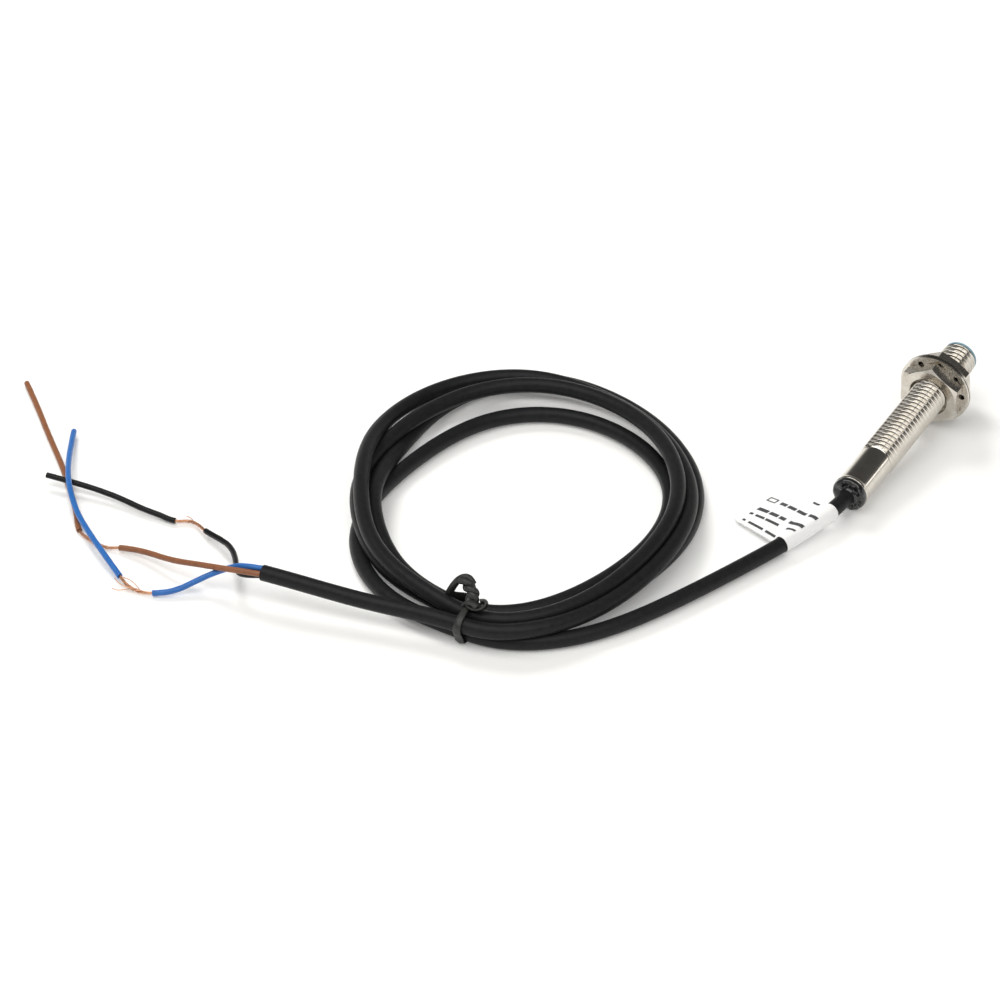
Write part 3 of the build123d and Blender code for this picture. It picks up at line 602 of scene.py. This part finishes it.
BAND = [
    (-0.10700, 0.04560, 0.00800), (-0.10820, 0.04560, 0.00740), (-0.11120, 0.04540, 0.00675), (-0.11260, 0.04530, 0.00560),
    (-0.11285, 0.04535, 0.00420), (-0.11165, 0.04545, 0.00220), (-0.11130, 0.04550, 0.00090), (-0.11030, 0.04560, 0.00028),
    (-0.10700, 0.04640, 0.00026), (-0.10350, 0.04740, 0.00026), (-0.10080, 0.04830, 0.00030), (-0.09965, 0.04880, 0.00110),
    (-0.09960, 0.04930, 0.00230), (-0.10060, 0.05010, 0.00370), (-0.10250, 0.05110, 0.00480), (-0.10400, 0.05190, 0.00560),
]
ARCH = [
    (-0.10446, 0.05262, 0.00520), (-0.10509, 0.05162, 0.00720), (-0.10525, 0.05043, 0.00960),
    (-0.10481, 0.04938, 0.01120), (-0.10444, 0.04805, 0.01200), (-0.10437, 0.04691, 0.01170),
    (-0.10476, 0.04608, 0.01100),
]
ROPE = [
    (-0.10486, 0.04851, 0.01130), (-0.10556, 0.04714, 0.01110), (-0.10602, 0.04579, 0.01050),
    (-0.10650, 0.04503, 0.00970), (-0.10714, 0.04489, 0.00890), (-0.10789, 0.04527, 0.00810),
]
EAR = [
    (-0.10761, 0.04567, 0.00840), (-0.10829, 0.04478, 0.00790), (-0.10818, 0.04344, 0.00770),
    (-0.10732, 0.04241, 0.00780), (-0.10643, 0.04200, 0.00840), (-0.10604, 0.04271, 0.00890),
    (-0.10657, 0.04346, 0.00870),
]
CROSS = [
    (-0.10821, 0.04614, 0.00760), (-0.10806, 0.04540, 0.00890), (-0.10830, 0.04430, 0.00920),
    (-0.10814, 0.04322, 0.00850),
]

band_line = route_points([Vector(p) for p in BAND], res=10)


def band_section(i, k):
    return [(y, x) for x, y in ribbon_ring(0.0013 + 0.0009 * min(k * 2.4, 1.0), 0.00050, 0.00022)]


bv, bf = sweep(band_line, band_section, up=Vector((0, 1, 0)))
for q in bv:
    q.z = max(q.z, 0.00002)
arch = route_points([Vector(p) for p in ARCH], res=12)
av, af = sweep(arch, lambda i, k: oval(0.0019 - 0.0003 * k, 0.0014))
rope = route_points([Vector(p) for p in ROPE], res=14)
tv, tf = twisted_pair(rope, 0.00062, 0.00078, 1.7)
ear = route_points([Vector(p) for p in EAR], res=12)
ev, ef = sweep(ear, lambda i, k: ribbon_ring(0.0020, 0.00062, 0.00022, turn=0.3 + 1.2 * k))
cross = route_points([Vector(p) for p in CROSS], res=12)
kv, kf = sweep(cross, lambda i, k: ribbon_ring(0.0017, 0.00070, 0.00022, turn=0.9 - 0.8 * k))
mv, mf = merge([(bv, bf), (av, af), (tv, tf), (ev, ef), (kv, kf)])
tie = mesh_object("twist_tie_wire", mv, mf, M_TIE)
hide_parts("twist_tie")

# ------------------------------------------------------------------ conductors
def tube(path, r_out, r_in, hollow_end=0.0, wobble=0.0, seed=0.0):
    """A length of insulation with both ends open a little way in."""
    m = 22
    fr = frames(path)
    n = len(path)
    rows = []
    depth = 0.0009
    order = [(0, r_in, depth), (0, r_in, 0.0), (0, r_out * 0.97, 0.0)]
    verts, faces = [], []

    def ring(i, r, shift=0.0):
        t, s, u = fr[i]
        out = []
        for j in range(m):
            a = 2 * math.pi * j / m
            rr = r * (1.0 + wobble * noise.noise(Vector((path[i].x * 900 + seed, path[i].y * 900, a))))
            out.append(path[i] + t * shift + s * (rr * math.cos(a)) + u * (rr * math.sin(a)))
        return out

    verts += ring(0, r_in, depth)
    verts += ring(0, r_in, 0.0)
    verts += ring(0, r_out * 0.96, 0.0)
    for i in range(n):
        verts += ring(i, r_out, 0.00008 if i == 0 else (-0.00008 if i == n - 1 else 0.0))
    verts += ring(n - 1, r_out * 0.96, 0.0)
    verts += ring(n - 1, r_in, 0.0)
    verts += ring(n - 1, r_in, -depth)
    rows = len(verts) // m
    for i in range(rows - 1):
        for j in range(m):
            a, b = i * m + j, i * m + (j + 1) % m
            faces.append((a, b, b + m, a + m))
    faces.append(tuple(reversed(range(m))))
    faces.append(tuple(range((rows - 1) * m, rows * m)))
    return verts, faces


def strands(path, c0, c1, seed):
    """Seven fine wires twisted together along the conductor, a little loose where the insulation is off."""
    rnd = random.Random(seed)
    arcs = arc_lengths(path)
    total = arcs[-1]
    parts = []
    r = 0.000105
    lay = 0.0065
    line = resample(path, 0.0, total - 0.0012, 0.0007)
    fr = frames(line)
    larc = arc_lengths(line)
    for q in range(7):
        off = 0.0 if q == 0 else 0.000205
        ph = 2 * math.pi * q / 6
        wob = rnd.uniform(-0.5, 0.5)
        pts = []
        for p, (t, s, u), L in zip(line, fr, larc):
            bare = max(0.0, min((L - c0) / 0.003, (c1 - L) / 0.003, 1.0))
            spread = off * (1.0 + bare * (0.35 + 0.25 * math.sin(L * 900 + q)))
            a = ph + 2 * math.pi * L / lay + bare * wob
            c = p + s * (spread * math.cos(a)) + u * (spread * math.sin(a))
            c.z = max(c.z, r + 0.00001)
            pts.append(c)
        parts.append(sweep(pts, lambda i, k: circle(r, 7)))
    return merge(parts)


def whiskers(points_list, r=0.00010):
    parts = []
    for pts in points_list:
        line = route_points([Vector(p) for p in pts], res=10)
        parts.append(sweep(line, lambda i, k: circle(r, 7)))
    return merge(parts)


def conductor(colour, pts, cuts, material, seed, loose=()):
    path = route_points(pts, res=10)
    arcs = arc_lengths(path)
    total = arcs[-1]
    c0, c1 = nearest_arc(path, cuts[0]), nearest_arc(path, cuts[1])
    v, f = strands(path, c0, c1, seed)
    wire = mesh_object(colour + "_strands", v, f, M_COPPER)
    extra = []
    if loose:
        lv, lf = whiskers(loose)
        extra = [mesh_object(colour + "_loose_strands", lv, lf, M_COPPER)]
    sv, sf = tube(resample(path, 0.0, c0, 0.0008), CORE_D / 2, 0.00034, wobble=0.05, seed=seed)
    for q in sv:
        q.z = max(q.z, 0.00001)
    stub = mesh_object(colour + "_stub_insulation", sv, sf, material)
    ev, ef = tube(resample(path, c1, total, 0.0008), CORE_D / 2, 0.00034, wobble=0.05, seed=seed + 5)
    for q in ev:
        q.z = max(q.z, 0.00001)
    sleeve = mesh_object(colour + "_sleeve_insulation", ev, ef, material)
    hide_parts(colour + "_copper")
    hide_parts(colour + "_stub")
    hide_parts(colour + "_sleeve")
    return wire, stub, sleeve


brown = conductor("brown", BROWN, BROWN_CUTS, M_BROWN, 11)
blue = conductor("blue", BLUE, BLUE_CUTS, M_BLUE, 23, loose=(
    [(-0.12975, 0.11250, 0.00070), (-0.13060, 0.11420, 0.00120), (-0.13090, 0.11620, 0.00160), (-0.13020, 0.11760, 0.00200)],
    [(-0.12950, 0.11180, 0.00070), (-0.12890, 0.11330, 0.00130), (-0.12860, 0.11520, 0.00180), (-0.12900, 0.11680, 0.00190)],
    [(-0.12985, 0.11380, 0.00060), (-0.13110, 0.11480, 0.00060), (-0.13190, 0.11620, 0.00050), (-0.13200, 0.11700, 0.00080)],
))
black = conductor("black", BLACK, BLACK_CUTS, M_BLACK, 37, loose=(
    [(-0.10330, 0.11620, 0.00090), (-0.10260, 0.11720, 0.00120), (-0.10280, 0.11840, 0.00130)],
))

# ------------------------------------------------------------------ threaded barrel
PITCH = 1.25


def barrel():
    m = 128
    stations = []
    s = 0.62
    while s < 11.4:
        stations.append(s)
        s += 0.6
    s = 11.4
    while s < 52.7:
        stations.append(s)
        s += 0.085
    stations.append(52.7)
    rows = [(0.0, 3.20, False), (0.0, 3.80, False), (0.06, 3.93, False), (0.14, 3.95, False), (0.48, 3.95, False), (0.56, 3.93, False), (0.60, 3.78, False)]
    rows += [(q, None, True) for q in stations]
    rows += [(52.79, 3.72, False), (52.80, 3.30, False), (52.0, 3.28, False)]
    verts, faces = [], []
    for s, r, cut in rows:
        for j in range(m):
            a = 2 * math.pi * j / m
            rr = r
            if cut:
                ph = (s / PITCH - j / m) % 1.0
                # crest flat, flanks at 60 degrees, rounded root
                d = abs(ph - 0.5) * 2.0
                form = min(max((d - 0.10) / 0.74, 0.0), 1.0)
                form = form * form * (3 - 2 * form) * 0.35 + form * 0.65
                thread = 3.33 + 0.66 * (1.0 - form)
                fade = min(max((s - 11.55) / 0.9, 0.0), 1.0)
                rr = 3.75 + (thread - 3.75) * fade
                if s > 52.2:
                    rr = min(rr, 4.0 - (s - 52.2) * 0.45)
            c = at(s, rr * math.cos(a), rr * math.sin(a))
            verts.append(c)
    for i in range(len(rows) - 1):
        for j in range(m):
            a, b = i * m + j, i * m + (j + 1) % m
            faces.append((a, a + m, b + m, b))
    return verts, faces


v, f = barrel()
tube_mesh = mesh_object("barrel_with_thread", v, f, M_NICKEL)
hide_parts("threaded_barrel")


def resin():
    """Cast resin that stands a little proud of the rear rim, uneven as it set."""
    m = 160
    rows = [(0.10, 3.60), (0.05, 3.78), (-0.08, 3.86), (-0.28, 3.88), (-0.50, 3.88), (-0.72, 3.86), (-0.92, 3.80), (-1.08, 3.70), (-1.20, 3.56),
            (-1.28, 3.36), (-1.30, 3.12), (-1.26, 2.88), (-1.18, 2.66), (-1.10, 2.46), (-1.06, 2.28), (-1.10, 2.10), (-1.22, 1.94), (-1.42, 1.80), (-1.60, 1.70)]
    verts, faces = [], []
    for s, r in rows:
        for j in range(m):
            a = 2 * math.pi * j / m
            q = Vector((r * math.cos(a), r * math.sin(a), s))
            n1 = noise.noise(q * 0.62 + Vector((3.1, 0.4, 7.0)))
            n2 = noise.noise(q * 1.7 + Vector((9.1, 5.4, 1.0)))
            n2 += 0.35 * noise.noise(q * 4.2 + Vector((2.1, 8.4, 3.0)))
            edge = min(max((-0.55 - s) / 0.5, 0.0), 1.0)
            inner = 1.0 - min(max((1.95 - r) / 0.25, 0.0), 1.0)
            right = 0.55 + 0.45 * math.cos(a - math.pi)
            ss = s - (0.20 * n1 + 0.30 * n2 * right) * edge * inner
            rr = min(r + 0.03 * n2 * edge * inner, 3.92)
            c = at(ss, rr * math.cos(a), rr * math.sin(a))
            c.z = max(c.z, 0.00004)
            verts.append(c)
    for i in range(len(rows) - 1):
        for j in range(m):
            a, b = i * m + j, i * m + (j + 1) % m
            faces.append((a, b, b + m, a + m))
    return verts, faces


v, f = resin()
resin_mesh = mesh_object("rear_resin", v, f, M_RESIN)
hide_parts("potting_resin")

# broken edges on the turned and pressed parts
for node, width in (("rear_nut", 0.00026), ("front_nut", 0.00026), ("rear_lock_washer", 0.00012), ("front_lock_washer", 0.00012), ("sensing_cap", 0.00012)):
    bevel = nodes[node].modifiers.new("edges", "BEVEL")
    bevel.width = width
    bevel.segments = 2
    bevel.limit_method = "ANGLE"
    bevel.angle_limit = math.radians(32)
    bevel.harden_normals = False

# ------------------------------------------------------------------ floor and light
def floor_material():
    m, nt, b = new_material("floor")
    n = noise_node(nt, 6.0, 2.0, 0.5)
    c = ramp(nt, n.outputs["Fac"], [(0.3, (0.83, 0.83, 0.825)), (0.7, (0.85, 0.85, 0.845))])
    nt.links.new(c.outputs["Color"], b.inputs["Base Color"])
    b.inputs["Roughness"].default_value = 0.9
    b.inputs["Specular IOR Level"].default_value = 0.1
    b.inputs["Emission Color"].default_value = (1.0, 0.995, 0.98, 1.0)
    b.inputs["Emission Strength"].default_value = 0.14
    return m


fm = bpy.data.meshes.new("floor")
fm.from_pydata([(-3, -3, 0), (3, -3, 0), (3, 3, 0), (-3, 3, 0)], [], [(0, 1, 2, 3)])
fm.materials.append(floor_material())
floor = link(bpy.data.objects.new("floor", fm))
floor.location.z = -0.00002

world = bpy.data.worlds.new("studio")
scene.world = world
world.use_nodes = True
wn = world.node_tree
bg = wn.nodes["Background"]
tc = wn.nodes.new("ShaderNodeTexCoord")
sep = wn.nodes.new("ShaderNodeSeparateXYZ")
wn.links.new(tc.outputs["Generated"], sep.inputs["Vector"])
wr = wn.nodes.new("ShaderNodeValToRGB")
els = wr.color_ramp.elements
while len(els) < 6:
    els.new(0.5)
for e, (pos, c) in zip(els, [(0.0, 0.80), (0.09, 0.78), (0.17, 0.50), (0.26, 0.17), (0.45, 0.085), (1.0, 0.065)]):
    e.position = pos
    e.color = (c, c * 0.985, c * 0.96, 1.0)
wn.links.new(sep.outputs["Z"], wr.inputs["Fac"])
wn.links.new(wr.outputs["Color"], bg.inputs["Color"])
bg.inputs["Strength"].default_value = 1.0

CENTRE = Vector((-0.045, 0.05, 0.0))


def area_light(name, direction, distance, size, energy, color=(1, 1, 1), size_y=None, glossy=True, aim=CENTRE):
    d = Vector(direction).normalized()
    ld = bpy.data.lights.new(name, "AREA")
    ld.shape = "RECTANGLE" if size_y else "SQUARE"
    ld.size = size
    if size_y:
        ld.size_y = size_y
    ld.energy = energy
    ld.color = color
    ob = link(bpy.data.objects.new(name, ld))
    ob.location = aim + d * distance
    ob.rotation_euler = (-d).to_track_quat("-Z", "Y").to_euler()
    ob.visible_glossy = glossy
    ob.visible_camera = False
    return ob


def panel(name, x0, x1, y0, y1, z, radiance, color=(1.0, 0.99, 0.965)):
    """A ceiling panel that faces straight down."""
    ld = bpy.data.lights.new(name, "AREA")
    ld.shape = "RECTANGLE"
    ld.size = x1 - x0
    ld.size_y = y1 - y0
    ld.energy = radiance * math.pi * (x1 - x0) * (y1 - y0)
    ld.color = color
    ob = link(bpy.data.objects.new(name, ld))
    ob.location = ((x0 + x1) / 2, (y0 + y1) / 2, z)
    ob.visible_camera = False
    return ob


panel("panel_right", -1.40, 0.05, -1.40, -0.36, 1.2, 2.3)
panel("panel_left", -1.40, 0.05, -0.27, 1.20, 1.2, 2.3)
area_light("key", (0.52, 0.62, 0.62), 1.4, 0.5, 13.0, color=(1.0, 0.99, 0.965), glossy=False)
area_light("side", (0.64, -0.75, 0.19), 1.4, 1.0, 0.6, color=(1.0, 0.985, 0.95), size_y=0.12)

scene.view_settings.view_transform = "Standard"
scene.view_settings.look = "None"
scene.view_settings.exposure = 0.0
scene.view_settings.gamma = 1.0
